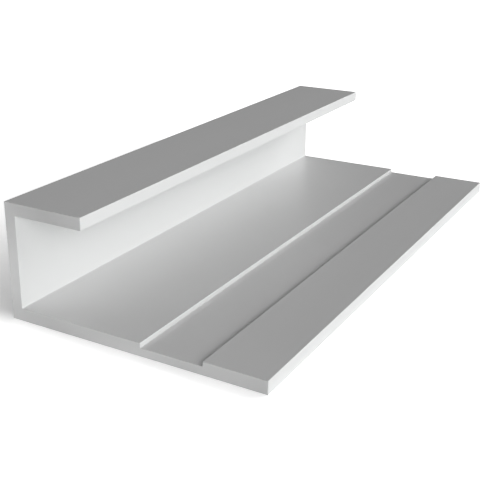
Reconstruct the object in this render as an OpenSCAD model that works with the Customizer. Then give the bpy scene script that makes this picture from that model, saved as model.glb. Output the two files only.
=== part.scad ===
// J-channel trim: one extruded piece with a wide base leg, an upright web and a short lip.
// The base leg carries a shallow recessed strip between an inner flat and an outer strip.
// X runs across the section, Y along the length and Z up; the origin is the middle of the underside.

/* [Stock piece] */
// Length of the piece between its two square-cut ends
piece_length = 100; // [20:1:600]

/* [Base leg] */
// Width of the base leg, from the back of the web to its free edge
base_w = 45; // [37:0.5:90]
// Thickness of the base leg, away from the recessed strip
base_t = 2.15; // [1.5:0.05:4]

/* [Web and lip] */
// Clear height of the slot between the base leg and the lip
slot_h = 15.15; // [6:0.05:40]
// Thickness of the web
web_t = 2; // [1:0.05:4]
// Reach of the lip beyond the inner face of the web
lip_reach = 12.5; // [4:0.5:30]
// Thickness of the lip
lip_t = 2; // [1:0.05:4]

/* [Recessed strip] */
// Width of the recessed strip
recess_w = 10.5; // [4:0.1:14]
// Depth of the recessed strip below the top of the base leg
recess_depth = 0.75; // [0.4:0.05:1.1]
// Width of the outer strip, from the recess to the free edge
strip_w = 10.2; // [4:0.1:14]

/* [Edges] */
// Radius on the outside edges of the web, the lip and the free edge
edge_r = 0.2; // [0.05:0.05:0.45]
// Radius in the two inside corners of the slot
slot_r = 0.3; // [0.05:0.05:1.5]
// Radius on the two shoulders of the recess
shoulder_r = 0.15; // [0.05:0.01:0.18]
// Radius in the two floor corners of the recess
floor_r = 0.15; // [0.05:0.01:0.18]

/* [Hidden] */
$fn = 48;

// Levels up the section
base_top = base_t;
recess_floor = base_top - recess_depth;
lip_under = base_top + slot_h;
overall_h = lip_under + lip_t;

// Stations across the section, from the back of the web
lip_tip = web_t + lip_reach;
recess_end = base_w - strip_w;
recess_start = recess_end - recess_w;

// How far an edge cutter or a corner fillet runs past the corner it works on
overlap = 0.1;

// The ways a corner can open, across and up
RIGHT = 1;
LEFT = -1;
UP = 1;
DOWN = -1;

// Rectangle between its lower left and its upper right corner
module bar(low, high) {
    translate(low)
        square(high - low);
}

// What lies between a sharp corner and the arc of radius r that is tangent to both its sides.
// Taken away it rounds an outside edge, and added it fills an inside corner.
module corner(at, across, up, r) {
    translate(at)
        scale([across, up])
            difference() {
                bar([-overlap, -overlap], [r, r]);
                translate([r, r])
                    circle(r);
            }
}

// The three legs of the section, with every corner sharp
module legs() {
    bar([0, 0], [base_w, base_top]);
    bar([0, 0], [web_t, overall_h]);
    bar([0, lip_under], [lip_tip, overall_h]);
}

// Outside edges, each at its corner and opening towards the metal
module outside_edges() {
    corner([0, 0], RIGHT, UP, edge_r);
    corner([0, overall_h], RIGHT, DOWN, edge_r);
    corner([lip_tip, overall_h], LEFT, DOWN, edge_r);
    corner([lip_tip, lip_under], LEFT, UP, edge_r);
    corner([base_w, base_top], LEFT, DOWN, edge_r);
    corner([base_w, 0], LEFT, UP, edge_r);
}

// Fillets in the slot, where the web meets the base leg and the lip
module slot_fillets() {
    corner([web_t, base_top], RIGHT, UP, slot_r);
    corner([web_t, lip_under], RIGHT, DOWN, slot_r);
}

// The recessed strip: a flat floor with filleted corners, open upwards past two rounded shoulders
module recess() {
    difference() {
        bar([recess_start, recess_floor], [recess_end, base_top + overlap]);
        corner([recess_start, recess_floor], RIGHT, UP, floor_r);
        corner([recess_end, recess_floor], LEFT, UP, floor_r);
    }
    corner([recess_start, base_top], LEFT, DOWN, shoulder_r);
    corner([recess_end, base_top], RIGHT, DOWN, shoulder_r);
}

// The whole section, with the back of the web at the left and the underside at the bottom
module section() {
    difference() {
        union() {
            legs();
            slot_fillets();
        }
        outside_edges();
        recess();
    }
}

// The extruded piece, cut square at both ends
module j_channel() {
    color("silver")
        translate([-base_w / 2, piece_length / 2, 0])
            rotate([90, 0, 0])
                linear_extrude(height = piece_length)
                    section();
}

j_channel();
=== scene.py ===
"""Looks of a cut piece of J-channel trim, lying on its wide leg in a pale studio.

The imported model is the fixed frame: X runs across the section from the back of the web, Y along
the piece and Z up from the floor. All sizes here are in metres.
"""

import logging
import math
from dataclasses import dataclass
from enum import Enum

import bpy
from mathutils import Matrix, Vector


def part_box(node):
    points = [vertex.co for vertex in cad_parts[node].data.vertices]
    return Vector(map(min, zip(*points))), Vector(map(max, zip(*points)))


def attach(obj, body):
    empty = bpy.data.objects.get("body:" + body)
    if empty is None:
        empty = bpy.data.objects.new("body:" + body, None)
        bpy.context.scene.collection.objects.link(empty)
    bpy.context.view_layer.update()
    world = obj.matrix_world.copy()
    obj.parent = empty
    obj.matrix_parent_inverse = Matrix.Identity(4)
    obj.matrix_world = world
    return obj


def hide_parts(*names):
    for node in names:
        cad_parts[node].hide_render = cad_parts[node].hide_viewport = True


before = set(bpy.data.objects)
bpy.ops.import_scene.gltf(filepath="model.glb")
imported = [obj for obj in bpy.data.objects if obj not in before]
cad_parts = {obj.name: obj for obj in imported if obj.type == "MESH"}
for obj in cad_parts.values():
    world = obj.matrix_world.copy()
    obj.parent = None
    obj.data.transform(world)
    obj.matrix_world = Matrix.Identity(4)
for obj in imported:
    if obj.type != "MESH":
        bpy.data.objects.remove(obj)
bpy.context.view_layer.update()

log = logging.getLogger("trim")

MM = 0.001
CAD_NODE = "j_channel"
BODY = "root"
FRAME_PIXELS = 480
RIGHT_ANGLE = 90.0
WHITE = (1, 1, 1, 1)
NO_TINT = (1, 1, 1)
COOL_TINT = (0.95, 1, 0.985)


class Surface(Enum):
    """The two kinds of surface on a cut extrusion."""

    EXTRUDED = "extruded_face"
    SAWN = "sawn_end"


class Graph:
    """Adds nodes to one node tree and wires them together."""

    def __init__(self, tree: bpy.types.NodeTree) -> None:
        """Empties the node tree and keeps it to build in."""
        self.tree = tree
        self.tree.nodes.clear()

    def add(self, kind: str, feeds: dict | None = None, **settings: object) -> bpy.types.Node:
        """Adds one node.

        Args:
            kind: Blender's name for the type of node.
            feeds: a value or a socket for each input, by the input's name or number.
            settings: the node's own properties.

        Returns:
            The new node.
        """
        node = self.tree.nodes.new(kind)
        for name, value in settings.items():
            setattr(node, name, value)
        for key, value in (feeds or {}).items():
            self.feed(node.inputs[key], value)
        return node

    def feed(self, socket: bpy.types.NodeSocket, value: object) -> None:
        """Links a socket to the input, or sets the input's own value.

        Args:
            socket: the input to feed.
            value: an output socket, or a plain value.
        """
        if isinstance(value, bpy.types.NodeSocket):
            self.tree.links.new(value, socket)
        else:
            socket.default_value = value

    def math(self, operation: str, *values: object) -> bpy.types.NodeSocket:
        """Adds a Math node, each of its terms a number or a socket, and returns its result."""
        kind = "ShaderNodeMath"
        return self.add(kind, dict(enumerate(values)), operation=operation).outputs[0]

    def vector(self, operation: str, *values: object) -> bpy.types.NodeSocket:
        """Adds a Vector Math node, each of its terms a vector or a socket, and returns its result."""
        kind = "ShaderNodeVectorMath"
        return self.add(kind, dict(enumerate(values)), operation=operation).outputs["Vector"]


@dataclass(frozen=True)
class Corner:
    """One corner of the section's outline, before it is rounded."""

    across: float
    up: float
    radius: float


@dataclass(frozen=True)
class TrimSection:
    """Sizes of the section. The overall width and height come from the frame.

    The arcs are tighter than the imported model's, because the edges in the photo are this crisp.
    """

    width: float
    height: float
    base_thickness: float = 2.15 * MM
    web_thickness: float = 2 * MM
    lip_thickness: float = 2 * MM
    lip_reach: float = 12.5 * MM
    recess_width: float = 10.5 * MM
    recess_depth: float = 0.75 * MM
    outer_strip: float = 10.2 * MM
    edge_radius: float = 0.08 * MM
    slot_radius: float = 0.15 * MM
    shoulder_radius: float = 0.07 * MM
    floor_radius: float = 0.07 * MM

    def corners(self) -> list[Corner]:
        """Walks round the section, anticlockwise from the heel of the web.

        Returns:
            The corners, with X measured from the middle of the base leg.
        """
        back = -self.width / 2
        tip = self.width / 2
        web = back + self.web_thickness
        lip = web + self.lip_reach
        recess_end = tip - self.outer_strip
        recess_start = recess_end - self.recess_width
        leg_top = self.base_thickness
        recess_floor = leg_top - self.recess_depth
        lip_under = self.height - self.lip_thickness
        edge = self.edge_radius
        shoulder = self.shoulder_radius
        return [
            Corner(back, 0, edge),
            Corner(tip, 0, edge),
            Corner(tip, leg_top, edge),
            Corner(recess_end, leg_top, shoulder),
            Corner(recess_end, recess_floor, self.floor_radius),
            Corner(recess_start, recess_floor, self.floor_radius),
            Corner(recess_start, leg_top, shoulder),
            Corner(web, leg_top, self.slot_radius),
            Corner(web, lip_under, self.slot_radius),
            Corner(lip, lip_under, edge),
            Corner(lip, self.height, edge),
            Corner(back, self.height, edge),
        ]


class OutlineSweep:
    """The node tree that rounds an outline, sweeps it along the piece and eases its cut edges."""

    NAME = "outline_sweep"
    RADIUS = "corner_radius"
    INPUTS = (
        ("Outline", "NodeSocketGeometry"),
        ("Length", "NodeSocketFloat"),
        ("Cut Edge", "NodeSocketFloat"),
        ("Arc Segments", "NodeSocketInt"),
        ("Stations", "NodeSocketInt"),
        ("Extruded Finish", "NodeSocketMaterial"),
        ("Sawn Finish", "NodeSocketMaterial"),
    )
    FLAT = 0.999
    FACES_END = 0.5
    HALF_STEP = 0.5

    def __init__(self) -> None:
        """Makes the tree and its sockets, then wires it."""
        self.tree = bpy.data.node_groups.new(self.NAME, "GeometryNodeTree")
        self.tree.is_modifier = True
        for name, kind in self.INPUTS:
            self.tree.interface.new_socket(name, in_out="INPUT", socket_type=kind)
        self.tree.interface.new_socket("Trim", in_out="OUTPUT", socket_type="NodeSocketGeometry")
        self.graph = Graph(self.tree)
        self.given = self.graph.add("NodeGroupInput").outputs
        self._wire()

    def identifier(self, name: str) -> str:
        """Returns the identifier of the input with that name."""
        return self.tree.interface.items_tree[name].identifier

    def _wire(self) -> None:
        """Joins the steps from outline to finished piece."""
        profile, outward = self._rounded_outline()
        swept = self._swept(self._rail(), profile)
        eased = self._eased_ends(swept, outward)
        shaded = self._shaded(eased)
        trim = self._finished(shaded)
        self.graph.add("NodeGroupOutput", {"Trim": trim})

    def _rounded_outline(self) -> tuple[bpy.types.NodeSocket, bpy.types.NodeSocket]:
        """Rounds each corner of the outline to its own radius.

        Returns:
            The outline as a curve, and its outward direction at each of its points.
        """
        g = self.graph
        curve = g.add("GeometryNodeMeshToCurve", {"Mesh": self.given["Outline"]}).outputs["Curve"]
        radius = g.add("GeometryNodeInputNamedAttribute", {"Name": self.RADIUS}, data_type="FLOAT")
        feeds = {
            "Curve": curve,
            "Count": self.given["Arc Segments"],
            "Radius": radius.outputs["Attribute"],
            "Limit Radius": True,
        }
        rounded = g.add("GeometryNodeFilletCurve", feeds, mode="POLY").outputs["Curve"]
        level = g.add("GeometryNodeSetCurveNormal", {"Curve": rounded}, mode="Z_UP").outputs["Curve"]
        capture = g.add("GeometryNodeCaptureAttribute", {"Geometry": level})
        capture.capture_items.new("VECTOR", "Outward")
        normal = g.add("GeometryNodeInputNormal").outputs["Normal"]
        g.feed(capture.inputs["Outward"], normal)
        return capture.outputs["Geometry"], capture.outputs["Outward"]

    def _rail(self) -> bpy.types.NodeSocket:
        """Lays the stations from the far end to the near one, with a cut edge of its own at each end.

        Returns:
            The rail as a curve.
        """
        g = self.graph
        line = g.add("GeometryNodeMeshLine", {"Count": self.given["Stations"]}).outputs["Mesh"]
        half = g.math("DIVIDE", self.given["Length"], 2)
        inner = g.math("SUBTRACT", half, self.given["Cut Edge"])
        index = g.add("GeometryNodeInputIndex").outputs["Index"]
        last = g.math("SUBTRACT", self.given["Stations"], 1)
        spread = {
            "Value": index,
            "From Min": 1.0,
            "From Max": g.math("SUBTRACT", last, 1),
            "To Min": inner,
            "To Max": g.math("MULTIPLY", inner, -1),
        }
        between = g.add("ShaderNodeMapRange", spread, clamp=True).outputs["Result"]
        at_end = g.math("ABSOLUTE", g.math("SUBTRACT", g.math("MULTIPLY", index, 2), last))
        is_end = g.math("COMPARE", at_end, last, self.HALF_STEP)
        cut = g.math("MULTIPLY", is_end, self.given["Cut Edge"])
        ends = g.math("MULTIPLY", g.math("SIGN", between), cut)
        place = g.add("ShaderNodeCombineXYZ", {"Y": g.math("ADD", between, ends)}).outputs["Vector"]
        placed = g.add("GeometryNodeSetPosition", {"Geometry": line, "Position": place})
        rail = g.add("GeometryNodeMeshToCurve", {"Mesh": placed.outputs["Geometry"]})
        feeds = {"Curve": rail.outputs["Curve"], "Normal": (1, 0, 0)}
        return g.add("GeometryNodeSetCurveNormal", feeds, mode="FREE").outputs["Curve"]

    def _swept(self, rail: bpy.types.NodeSocket, profile: bpy.types.NodeSocket) -> bpy.types.NodeSocket:
        """Sweeps the profile along the rail, closes both ends and returns the mesh."""
        feeds = {"Curve": rail, "Profile Curve": profile, "Fill Caps": True}
        return self.graph.add("GeometryNodeCurveToMesh", feeds).outputs["Mesh"]

    def _eased_ends(self, mesh: bpy.types.NodeSocket, outward: bpy.types.NodeSocket) -> bpy.types.NodeSocket:
        """Draws the outline in by the cut edge at both ends, where the saw's burr was taken off.

        Args:
            mesh: the swept mesh.
            outward: the outward direction at each point, in the plane of the outline.

        Returns:
            The mesh with its cut edges eased.
        """
        g = self.graph
        position = g.add("GeometryNodeInputPosition").outputs["Position"]
        along = g.add("ShaderNodeSeparateXYZ", {"Vector": position}).outputs["Y"]
        half = g.math("DIVIDE", self.given["Length"], 2)
        inner = g.math("SUBTRACT", half, g.math("DIVIDE", self.given["Cut Edge"], 2))
        at_end = g.math("GREATER_THAN", g.math("ABSOLUTE", along), inner)
        flat = g.add("ShaderNodeSeparateXYZ", {"Vector": outward})
        upright = g.add("ShaderNodeCombineXYZ", {"X": flat.outputs["X"], "Z": flat.outputs["Y"]})
        inwards = g.add("ShaderNodeVectorMath", {"Vector": upright.outputs["Vector"]}, operation="SCALE")
        g.feed(inwards.inputs["Scale"], g.math("MULTIPLY", self.given["Cut Edge"], -1))
        feeds = {"Geometry": mesh, "Selection": at_end, "Offset": inwards.outputs["Vector"]}
        return g.add("GeometryNodeSetPosition", feeds).outputs["Geometry"]

    def _shaded(self, mesh: bpy.types.NodeSocket) -> bpy.types.NodeSocket:
        """Shades the arcs smooth and the flats flat.

        Args:
            mesh: the eased mesh.

        Returns:
            The mesh, shaded.
        """
        g = self.graph
        normal = g.add("GeometryNodeInputNormal").outputs["Normal"]
        parts = g.add("ShaderNodeSeparateXYZ", {"Vector": g.vector("ABSOLUTE", normal)})
        steepest = g.math("MAXIMUM", parts.outputs["X"], parts.outputs["Z"])
        leaning = g.math("LESS_THAN", g.math("MAXIMUM", steepest, parts.outputs["Y"]), self.FLAT)
        upright = g.math("LESS_THAN", parts.outputs["Y"], 1 - self.FLAT)
        flat = g.add("GeometryNodeSetShadeSmooth", {"Geometry": mesh, "Shade Smooth": False}, domain="FACE")
        feeds = {
            "Geometry": flat.outputs["Geometry"],
            "Selection": g.math("MULTIPLY", leaning, upright),
            "Shade Smooth": True,
        }
        return g.add("GeometryNodeSetShadeSmooth", feeds, domain="FACE").outputs["Geometry"]

    def _finished(self, mesh: bpy.types.NodeSocket) -> bpy.types.NodeSocket:
        """Gives the extruded faces one finish and the sawn ends the other.

        Args:
            mesh: the shaded mesh.

        Returns:
            The finished piece.
        """
        g = self.graph
        plain = g.add("GeometryNodeRemoveAttribute", {"Geometry": mesh, "Name": self.RADIUS})
        real = g.add("GeometryNodeRealizeInstances", {"Geometry": plain.outputs["Geometry"]})
        normal = g.add("GeometryNodeInputNormal").outputs["Normal"]
        along = g.add("ShaderNodeSeparateXYZ", {"Vector": normal}).outputs["Y"]
        faces_end = g.math("GREATER_THAN", g.math("ABSOLUTE", along), self.FACES_END)
        feeds = {"Geometry": real.outputs["Geometry"], "Material": self.given["Extruded Finish"]}
        dressed = g.add("GeometryNodeSetMaterial", feeds).outputs["Geometry"]
        feeds = {"Geometry": dressed, "Selection": faces_end, "Material": self.given["Sawn Finish"]}
        return g.add("GeometryNodeSetMaterial", feeds).outputs["Geometry"]


@dataclass
class TrimPiece:
    """The extruded piece: its outline swept along its length and cut square."""

    section: TrimSection
    length: float
    cut_edge: float = 0.04 * MM
    arc_segments: int = 8
    stations: int = 42
    name: str = "trim_piece"

    def _outline(self) -> bpy.types.Object:
        """Draws the section with sharp corners, each with its radius beside it.

        Returns:
            The outline, flat in X and Y.
        """
        corners = self.section.corners()
        mesh = bpy.data.meshes.new(self.name + "_outline")
        points = [(c.across, c.up, 0) for c in corners]
        edges = [(i, (i + 1) % len(corners)) for i in range(len(corners))]
        mesh.from_pydata(points, edges, [])
        radii = mesh.attributes.new(OutlineSweep.RADIUS, "FLOAT", "POINT")
        radii.data.foreach_set("value", [c.radius for c in corners])
        outline = bpy.data.objects.new(self.name + "_outline", mesh)
        bpy.context.scene.collection.objects.link(outline)
        return outline

    def build(self, finishes: dict[Surface, bpy.types.Material]) -> bpy.types.Object:
        """Sweeps the outline and keeps the result as a plain mesh.

        Args:
            finishes: the material of each kind of surface.

        Returns:
            The piece, with its place in its mesh.
        """
        outline = self._outline()
        sweep = OutlineSweep()
        modifier = outline.modifiers.new(sweep.NAME, "NODES")
        modifier.node_group = sweep.tree
        values = {
            "Length": self.length,
            "Cut Edge": self.cut_edge,
            "Arc Segments": self.arc_segments,
            "Stations": self.stations,
            "Extruded Finish": finishes[Surface.EXTRUDED],
            "Sawn Finish": finishes[Surface.SAWN],
        }
        for name, value in values.items():
            modifier[sweep.identifier(name)] = value
        depsgraph = bpy.context.evaluated_depsgraph_get()
        mesh = bpy.data.meshes.new_from_object(outline.evaluated_get(depsgraph), depsgraph=depsgraph)
        mesh.name = self.name
        outline.modifiers.remove(modifier)
        bpy.data.objects.remove(outline)
        piece = bpy.data.objects.new(self.name, mesh)
        bpy.context.scene.collection.objects.link(piece)
        return piece


class MarkGroup:
    """A shader group for one kind of mark.

    Each kind names its sizes, its places and its results, which become the group's sockets.
    """

    NAME = "marks"
    SIZES: tuple[tuple[str, float], ...] = ()
    PLACES: tuple[str, ...] = ()
    RESULTS: tuple[str, ...] = ("Height",)

    def __init__(self) -> None:
        """Makes the group and its sockets once, then wires it."""
        self.tree = bpy.data.node_groups.new(self.NAME, "ShaderNodeTree")
        sockets = self.tree.interface
        for name, default in self.SIZES:
            sockets.new_socket(name, in_out="INPUT", socket_type="NodeSocketFloat").default_value = default
        for name in self.PLACES:
            sockets.new_socket(name, in_out="INPUT", socket_type="NodeSocketVector")
        for name in self.RESULTS:
            sockets.new_socket(name, in_out="OUTPUT", socket_type="NodeSocketFloat")
        self.graph = Graph(self.tree)
        self.given = self.graph.add("NodeGroupInput").outputs
        self.place = self.graph.add("ShaderNodeTexCoord").outputs["Object"]
        self.graph.add("NodeGroupOutput", self._results())

    def _results(self) -> dict[str, bpy.types.NodeSocket]:
        """Wires the marks and returns each result, by its name."""
        raise NotImplementedError

    def _per(self, size: str) -> bpy.types.NodeSocket:
        """Returns how many of a size go into one metre."""
        return self.graph.math("DIVIDE", 1.0, self.given[size])


class SurfaceGrain(MarkGroup):
    """The fine grain of the coat and the slow drift of its tone."""

    NAME = "surface_grain"
    SIZES = (("Grain Size", 0.3 * MM), ("Drift Size", 18 * MM))
    PLACES = ("Drift From",)
    RESULTS = ("Height", "Drift")
    GRAIN_DETAIL = 2.0
    DRIFT_DETAIL = 1.0

    def _results(self) -> dict[str, bpy.types.NodeSocket]:
        """Wires the grain and the drift.

        Returns:
            The height of the grain, and the drift of the tone.
        """
        g = self.graph
        feeds = {"Vector": self.place, "Scale": self._per("Grain Size"), "Detail": self.GRAIN_DETAIL}
        grain = g.add("ShaderNodeTexNoise", feeds)
        moved = g.vector("ADD", self.place, self.given["Drift From"])
        feeds = {"Vector": moved, "Scale": self._per("Drift Size"), "Detail": self.DRIFT_DETAIL}
        drift = g.add("ShaderNodeTexNoise", feeds)
        return {"Height": grain.outputs["Fac"], "Drift": drift.outputs["Fac"]}


class DieLines(MarkGroup):
    """The faint lines that the die leaves along an extrusion."""

    NAME = "die_lines"
    SIZES = (("Line Spacing", 0.9 * MM), ("Line Length", 400 * MM))
    DETAIL = 3.0
    UNEVENNESS = 0.65

    def _results(self) -> dict[str, bpy.types.NodeSocket]:
        """Wires the lines, close together across the piece and long drawn out along it.

        Returns:
            Their height.
        """
        g = self.graph
        across = self._per("Line Spacing")
        stretch = g.add("ShaderNodeCombineXYZ", {"X": across, "Y": self._per("Line Length"), "Z": across})
        drawn = g.vector("MULTIPLY", self.place, stretch.outputs["Vector"])
        feeds = {"Vector": drawn, "Scale": 1.0, "Detail": self.DETAIL, "Roughness": self.UNEVENNESS}
        return {"Height": g.add("ShaderNodeTexNoise", feeds).outputs["Fac"]}


class SawMarks(MarkGroup):
    """The shallow arcs that a circular saw leaves on a cut end."""

    NAME = "saw_marks"
    SIZES = (
        ("Centre X", 30 * MM),
        ("Centre Z", -110 * MM),
        ("Mark Spacing", 0.7 * MM),
        ("Wander", 0.25 * MM),
        ("Wander Size", 4 * MM),
    )
    DETAIL = 2.0
    WANDER_DETAIL = 1.0

    def _results(self) -> dict[str, bpy.types.NodeSocket]:
        """Wires the arcs round the saw's centre.

        Returns:
            Their height.
        """
        g = self.graph
        centre = g.add("ShaderNodeCombineXYZ", {"X": self.given["Centre X"], "Z": self.given["Centre Z"]})
        arm = g.vector("SUBTRACT", self.place, centre.outputs["Vector"])
        flat = g.vector("MULTIPLY", arm, (1, 0, 1))
        radius = g.add("ShaderNodeVectorMath", {0: flat}, operation="LENGTH").outputs["Value"]
        feeds = {"Vector": self.place, "Scale": self._per("Wander Size"), "Detail": self.WANDER_DETAIL}
        wobble = g.add("ShaderNodeTexNoise", feeds)
        strayed = g.math("MULTIPLY_ADD", wobble.outputs["Fac"], self.given["Wander"], radius)
        turns = g.math("DIVIDE", strayed, self.given["Mark Spacing"])
        feeds = {"W": turns, "Scale": 1.0, "Detail": self.DETAIL}
        marks = g.add("ShaderNodeTexNoise", feeds, noise_dimensions="1D")
        return {"Height": marks.outputs["Fac"]}


@dataclass(frozen=True)
class Tooling:
    """The marks that the die or the saw leaves in one kind of surface, and how far the surface's tone
    drifts.

    The tone drifts by a share of itself, and the drift is read from a place of its own.
    """

    mark_depth: float
    tone_drift: float
    drift_from: tuple[float, float, float] = (0, 0, 0)


@dataclass(frozen=True)
class Coat:
    """The light grey satin coat, as both kinds of surface carry it."""

    tone: float = 0.66
    roughness: float = 0.35
    specular: float = 0.5
    roughness_drift: float = 0.05
    grain_depth: float = 0.002 * MM
    die: Tooling = Tooling(mark_depth=0.003 * MM, tone_drift=0.012)
    # On the sawn ends the tone drifts widely, placed so that the web's end shows lighter and the lip's end
    # darker.
    saw: Tooling = Tooling(
        mark_depth=0.006 * MM, tone_drift=0.45, drift_from=(234 * MM, 308 * MM, 12 * MM)
    )

    def materials(self) -> dict[Surface, bpy.types.Material]:
        """Makes the material of each kind of surface.

        Returns:
            The materials, by surface.
        """
        grain = SurfaceGrain().tree
        return {
            Surface.EXTRUDED: self._material(Surface.EXTRUDED, grain, DieLines().tree, self.die),
            Surface.SAWN: self._material(Surface.SAWN, grain, SawMarks().tree, self.saw),
        }

    def _material(
        self, surface: Surface, grain: bpy.types.NodeTree, lines: bpy.types.NodeTree, tooling: Tooling
    ) -> bpy.types.Material:
        """Makes one material from the shared grain and the marks of its own tooling.

        Args:
            surface: the kind of surface.
            grain: the shared grain group.
            lines: the group of the die's or the saw's marks.
            tooling: how strongly they show.

        Returns:
            The material.
        """
        material = bpy.data.materials.new(surface.value)
        material.use_nodes = True
        g = Graph(material.node_tree)
        coat_grain = g.add("ShaderNodeGroup", {"Drift From": tooling.drift_from}, node_tree=grain)
        marks = g.add("ShaderNodeGroup", node_tree=lines)
        tone = self._varied(g, coat_grain.outputs["Drift"], self.tone, tooling.tone_drift * self.tone)
        colour = g.add("ShaderNodeCombineColor", {"Red": tone, "Green": tone, "Blue": tone})
        roughness = self._varied(g, marks.outputs["Height"], self.roughness, self.roughness_drift)
        tooled = g.add("ShaderNodeBump", {"Height": marks.outputs["Height"], "Distance": tooling.mark_depth})
        feeds = {
            "Height": coat_grain.outputs["Height"],
            "Distance": self.grain_depth,
            "Normal": tooled.outputs["Normal"],
        }
        grained = g.add("ShaderNodeBump", feeds)
        feeds = {
            "Base Color": colour.outputs["Color"],
            "Roughness": roughness,
            "Specular IOR Level": self.specular,
            "Normal": grained.outputs["Normal"],
        }
        shader = g.add("ShaderNodeBsdfPrincipled", feeds)
        g.add("ShaderNodeOutputMaterial", {"Surface": shader.outputs["BSDF"]})
        return material

    def _varied(
        self, g: Graph, noise: bpy.types.NodeSocket, middle: float, swing: float
    ) -> bpy.types.NodeSocket:
        """Lets a value follow a noise from 0 to 1, by the swing up and down from its middle."""
        return g.math("MULTIPLY_ADD", noise, 2 * swing, middle - swing)


def direction(azimuth: float, elevation: float) -> Vector:
    """Gives the unit vector towards a place round the piece.

    Args:
        azimuth: degrees, 0 in front of the near end and 90 at the open side.
        elevation: degrees above the floor.

    Returns:
        The direction from the piece.
    """
    turn, rise = math.radians(azimuth), math.radians(elevation)
    return Vector((math.sin(turn) * math.cos(rise), -math.cos(turn) * math.cos(rise), math.sin(rise)))


def facing(azimuth: float, elevation: float) -> tuple[float, float, float]:
    """Gives the turn of a camera or lamp that looks back at the piece from such a place.

    Args:
        azimuth: degrees, 0 in front of the near end and 90 at the open side.
        elevation: degrees above the floor.

    Returns:
        The turn about X, Y and Z.
    """
    return math.radians(RIGHT_ANGLE - elevation), 0, math.radians(azimuth)


@dataclass(frozen=True)
class PhotoCamera:
    """The camera, at the photograph's place: it looks from the right of the near end, a little down.

    Its focal length and optical centre are in pixels of the frame, counted from the upper left.
    """

    azimuth: float = 30.613
    elevation: float = 19.154
    target_across: float = 1.433 * MM
    target_along: float = 62.840 * MM
    distance: float = 190.03 * MM
    focal_pixels: float = 893.51
    centre_right: float = 226.37
    centre_down: float = 206.13
    sensor: float = 36.0
    nearest: float = 5 * MM
    farthest: float = 50.0

    def build(self, low: Vector) -> bpy.types.Object:
        """Makes the camera and gives it to the scene.

        Args:
            low: the lowest corner of the piece, from which the target is measured.

        Returns:
            The camera.
        """
        lens = bpy.data.cameras.new("photo_camera")
        lens.sensor_width = self.sensor
        lens.lens = self.focal_pixels / FRAME_PIXELS * self.sensor
        lens.shift_x = (FRAME_PIXELS / 2 - self.centre_right) / FRAME_PIXELS
        lens.shift_y = (self.centre_down - FRAME_PIXELS / 2) / FRAME_PIXELS
        lens.clip_start = self.nearest
        lens.clip_end = self.farthest
        camera = bpy.data.objects.new("photo_camera", lens)
        target = Vector((low.x + self.target_across, low.y + self.target_along, low.z))
        camera.location = target + direction(self.azimuth, self.elevation) * self.distance
        camera.rotation_euler = facing(self.azimuth, self.elevation)
        bpy.context.scene.collection.objects.link(camera)
        bpy.context.scene.camera = camera
        return camera


@dataclass(frozen=True)
class Softbox:
    """A large soft lamp that faces the piece."""

    name: str
    azimuth: float
    elevation: float
    level: float
    width: float
    height: float
    distance: float = 1.2
    tint: tuple[float, float, float] = NO_TINT
    mirrored: bool = False

    def build(self) -> bpy.types.Object:
        """Makes the lamp. At level 1 it lights a facing white card to about plain white.

        Returns:
            The lamp.
        """
        lamp = bpy.data.lights.new(self.name, "AREA")
        lamp.shape = "RECTANGLE"
        lamp.size = self.width
        lamp.size_y = self.height
        lamp.energy = self.level * (math.pi * self.distance) ** 2
        lamp.color = self.tint
        box = bpy.data.objects.new(self.name, lamp)
        box.location = direction(self.azimuth, self.elevation) * self.distance
        box.rotation_euler = facing(self.azimuth, self.elevation)
        box.visible_camera = False
        box.visible_glossy = self.mirrored
        bpy.context.scene.collection.objects.link(box)
        return box


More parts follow.
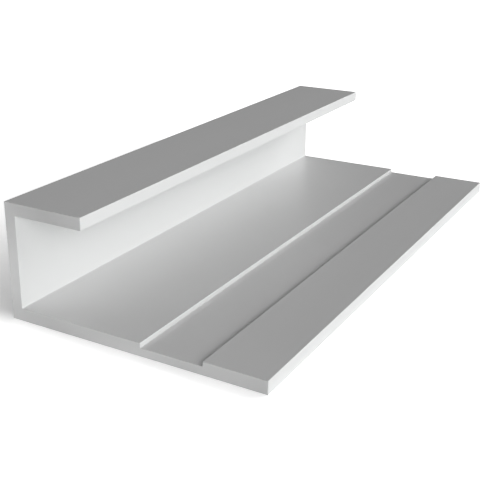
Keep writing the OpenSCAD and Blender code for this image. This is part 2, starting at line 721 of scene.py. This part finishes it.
@dataclass(frozen=True)
class Studio:
    """A pale floor, white all round, soft lamps and a grey card for the tops to mirror.

    The floor's glow paints the shadow: it stays dim near the piece's edges, where it paints shade onto the
    floor, and fades the shadow to white between two distances from those edges.
    """

    footprint: tuple[float, float]
    floor_size: float = 12.0
    floor_tone: float = 0.9
    # floor_glow is the glow at the piece's edges, where the painted shadow is darkest; reflections see the
    # whole floor at this glow
    floor_glow: float = 0.165
    fade_starts: float = -1.7 * MM
    fade_ends: float = 78 * MM
    lit_side_hurry: float = 13.0
    card_tone: float = 0.07
    card_azimuth: float = 210.0
    card_distance: float = 0.9
    card_width: float = 2.2
    card_height: float = 1.2
    lamps: tuple[Softbox, ...] = (
        Softbox("key_softbox", azimuth=45, elevation=21.5, level=0.59, width=0.9, height=0.5),
        Softbox(
            "low_side_softbox",
            azimuth=82,
            elevation=2.2,
            level=0.385,
            width=1.5,
            height=0.08,
            tint=COOL_TINT,
        ),
        Softbox("front_softbox", azimuth=8, elevation=9, level=0.081, width=0.9, height=0.3),
        Softbox("rear_softbox", azimuth=145, elevation=24, level=0.694, width=0.9, height=0.6),
        Softbox(
            "left_softbox", azimuth=270, elevation=12, level=0.307, width=0.9, height=0.4, mirrored=True
        ),
    )

    def build(self) -> None:
        """Sets up the floor, the card, the world and the lamps."""
        self._floor()
        self._card()
        self._world()
        for lamp in self.lamps:
            lamp.build()

    def _mirrored(self, path: bpy.types.bpy_prop_collection, g: Graph) -> bpy.types.NodeSocket:
        """Returns 1 for a ray that comes from a reflection or a clear body, and 0 for any other."""
        return g.math("MAXIMUM", path["Is Glossy Ray"], path["Is Transmission Ray"])

    def _sheet(self, name: str, points: list[tuple[float, float, float]]) -> bpy.types.Object:
        """Makes a flat sheet.

        Args:
            name: what to call it.
            points: its corners, in order round it.

        Returns:
            The sheet.
        """
        mesh = bpy.data.meshes.new(name)
        mesh.from_pydata(points, [], [tuple(range(len(points)))])
        sheet = bpy.data.objects.new(name, mesh)
        bpy.context.scene.collection.objects.link(sheet)
        return sheet

    def _floor(self) -> bpy.types.Object:
        """Lays the floor. It looks white and keeps the piece's shadow, and its glow, seen only by the
        camera, paints more shade near the piece and paints the shadow out further off.

        Returns:
            The floor.
        """
        half = self.floor_size / 2
        corners = [(-half, -half, 0), (half, -half, 0), (half, half, 0), (-half, half, 0)]
        floor = self._sheet("floor", corners)
        material = bpy.data.materials.new("pale_floor")
        material.use_nodes = True
        g = Graph(material.node_tree)
        tone = (self.floor_tone,) * 3 + (1,)
        paint = g.add("ShaderNodeBsdfDiffuse", {"Color": tone}).outputs["BSDF"]
        path = g.add("ShaderNodeLightPath").outputs
        # Painted shadow: the camera sees the floor glow dimly near the piece, longest behind the web, and
        # plain white further off.
        painted_shadow_shown = g.math("MULTIPLY", path["Is Camera Ray"], self._painted_shadow_glow(g))
        mirrored = g.math("MULTIPLY", self._mirrored(path, g), self.floor_glow)
        strength = g.math("MAXIMUM", painted_shadow_shown, mirrored)
        glow = g.add("ShaderNodeEmission", {"Color": WHITE, "Strength": strength}).outputs["Emission"]
        both = g.add("ShaderNodeAddShader", {0: paint, 1: glow}).outputs["Shader"]
        g.add("ShaderNodeOutputMaterial", {"Surface": both})
        floor.data.materials.append(material)
        return floor

    def _painted_shadow_glow(self, g: Graph) -> bpy.types.NodeSocket:
        """Works out the floor's glow, which paints the shadow: dim near the piece, so the floor there shows
        darker, and turning to plain white away from the piece.

        It does so slowly on the left, behind the web, where the shadow falls and a painted shadow stays, and
        soon on the other three sides, where the real shadow is painted out. It starts a little under the
        piece, so that those keep only a faint line of shadow, partly painted.

        Args:
            g: the graph of the floor's material.

        Returns:
            The strength of the glow.
        """
        place = g.add("ShaderNodeTexCoord").outputs["Object"]
        half = tuple(side / 2 + self.fade_starts for side in self.footprint) + (0,)
        opposite = tuple(-side for side in half)
        right_far = g.vector("MAXIMUM", g.vector("SUBTRACT", place, half), (0, 0, 0))
        other_way = g.vector("MULTIPLY_ADD", place, (-1, -1, 0), opposite)
        left_near = g.vector("MAXIMUM", other_way, (0, 0, 0))
        hurried = g.vector("MULTIPLY", right_far, (self.lit_side_hurry, self.lit_side_hurry, 0))
        beyond = g.vector("MULTIPLY_ADD", left_near, (1, self.lit_side_hurry, 0), hurried)
        away = g.add("ShaderNodeVectorMath", {0: beyond}, operation="LENGTH").outputs["Value"]
        # Painted shadow: the glow climbs from its dimmest at the piece's edges to white at the fade's end.
        feeds = {"Value": away, "From Max": self.fade_ends, "To Min": self.floor_glow, "To Max": 1.0}
        return g.add("ShaderNodeMapRange", feeds).outputs["Result"]

    def _card(self) -> bpy.types.Object:
        """Stands a grey card behind the web, where the camera sees the tops mirror it.

        Returns:
            The card.
        """
        out = direction(self.card_azimuth, 0) * self.card_distance
        side = direction(self.card_azimuth + RIGHT_ANGLE, 0) * (self.card_width / 2)
        rise = Vector((0, 0, self.card_height))
        points = [tuple(out - side), tuple(out + side), tuple(out + side + rise), tuple(out - side + rise)]
        card = self._sheet("grey_card", points)
        card.visible_camera = False
        material = bpy.data.materials.new("card_grey")
        material.use_nodes = True
        g = Graph(material.node_tree)
        tone = g.add("ShaderNodeEmission", {"Color": WHITE, "Strength": self.card_tone})
        g.add("ShaderNodeOutputMaterial", {"Surface": tone.outputs["Emission"]})
        card.data.materials.append(material)
        return card

    def _world(self) -> None:
        """Shows white behind the piece and in what it mirrors, and leaves the light to the lamps."""
        world = bpy.data.worlds.new("studio_air")
        world.use_nodes = True
        g = Graph(world.node_tree)
        path = g.add("ShaderNodeLightPath").outputs
        seen = g.math("MAXIMUM", path["Is Camera Ray"], self._mirrored(path, g))
        air = g.add("ShaderNodeBackground", {"Color": WHITE, "Strength": seen})
        g.add("ShaderNodeOutputWorld", {"Surface": air.outputs["Background"]})
        bpy.context.scene.world = world


def main() -> None:
    """Builds the camera, the studio and the piece in order, and reports the camera and the piece."""
    bpy.context.scene.view_settings.view_transform = "Standard"
    low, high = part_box(CAD_NODE)
    camera = PhotoCamera().build(low)
    log.info("%s: %.1f mm lens", camera.name, camera.data.lens)
    Studio(footprint=(high.x - low.x, high.y - low.y)).build()
    section = TrimSection(width=high.x - low.x, height=high.z - low.z)
    piece = TrimPiece(section, length=high.y - low.y).build(Coat().materials())
    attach(piece, BODY)
    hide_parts(CAD_NODE)
    log.info("%s: %d faces", piece.name, len(piece.data.polygons))


if __name__ == "__main__":
    logging.basicConfig(level=logging.INFO, format="%(name)s: %(message)s")
    main()
